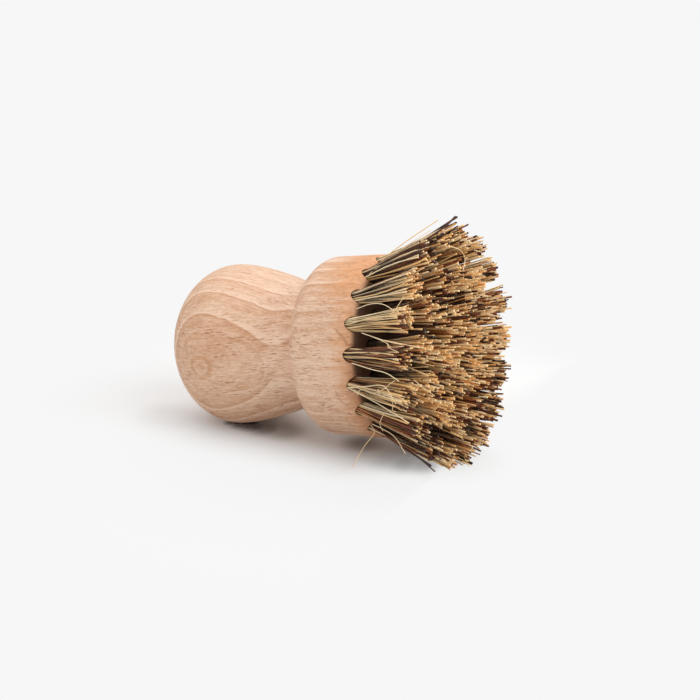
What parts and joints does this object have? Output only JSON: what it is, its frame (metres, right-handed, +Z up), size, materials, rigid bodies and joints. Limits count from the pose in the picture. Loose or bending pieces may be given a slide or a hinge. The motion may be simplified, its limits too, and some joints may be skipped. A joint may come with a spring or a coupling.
{
  "type": "pot brush",
  "caption": "Turned beech pot brush: round palm knob, drawn-in waist and drilled head, filled with stiff plant-fibre tufts that splay outwards to scrub pots and pans.",
  "frame": {"origin": "centre of the lying brush's footprint box, on the surface that it lies on", "axes": "+X is level and runs from the knob to the bristles, +Z is up; the turning axis rises from +X by about 9 degrees towards the bristles"},
  "size_m": [0.0906, 0.0678, 0.0665],
  "materials": {
    "beech": "bare, finely sanded",
    "fibre": "matt plant fibre, straw and dark brown mixed",
    "anchor_wire": "drawn"
  },
  "bodies": {
    "root": {"handle": "beech", "tuft_centre": "fibre", "tuft_inner_01": "fibre", "tuft_inner_02": "fibre", "tuft_inner_03": "fibre", "tuft_inner_04": "fibre", "tuft_inner_05": "fibre", "tuft_inner_06": "fibre", "tuft_middle_01": "fibre", "tuft_middle_02": "fibre", "tuft_middle_03": "fibre", "tuft_middle_04": "fibre", "tuft_middle_05": "fibre", "tuft_middle_06": "fibre", "tuft_middle_07": "fibre", "tuft_middle_08": "fibre", "tuft_middle_09": "fibre", "tuft_middle_10": "fibre", "tuft_middle_11": "fibre", "tuft_middle_12": "fibre", "tuft_outer_01": "fibre", "tuft_outer_02": "fibre", "tuft_outer_03": "fibre", "tuft_outer_04": "fibre", "tuft_outer_05": "fibre", "tuft_outer_06": "fibre", "tuft_outer_07": "fibre", "tuft_outer_08": "fibre", "tuft_outer_09": "fibre", "tuft_outer_10": "fibre", "tuft_outer_11": "fibre", "tuft_outer_12": "fibre", "tuft_outer_13": "fibre", "tuft_outer_14": "fibre", "tuft_outer_15": "fibre", "tuft_outer_16": "fibre", "tuft_outer_17": "fibre", "tuft_outer_18": "fibre", "anchor_outer_01": "anchor_wire", "anchor_outer_02": "anchor_wire", "anchor_outer_03": "anchor_wire", "anchor_outer_04": "anchor_wire", "anchor_outer_05": "anchor_wire", "anchor_outer_06": "anchor_wire", "anchor_outer_07": "anchor_wire", "anchor_outer_08": "anchor_wire", "anchor_outer_09": "anchor_wire", "anchor_outer_10": "anchor_wire", "anchor_outer_11": "anchor_wire", "anchor_outer_12": "anchor_wire", "anchor_outer_13": "anchor_wire", "anchor_outer_14": "anchor_wire", "anchor_outer_15": "anchor_wire", "anchor_outer_16": "anchor_wire", "anchor_outer_17": "anchor_wire", "anchor_outer_18": "anchor_wire"}
  },
  "joints": []
}
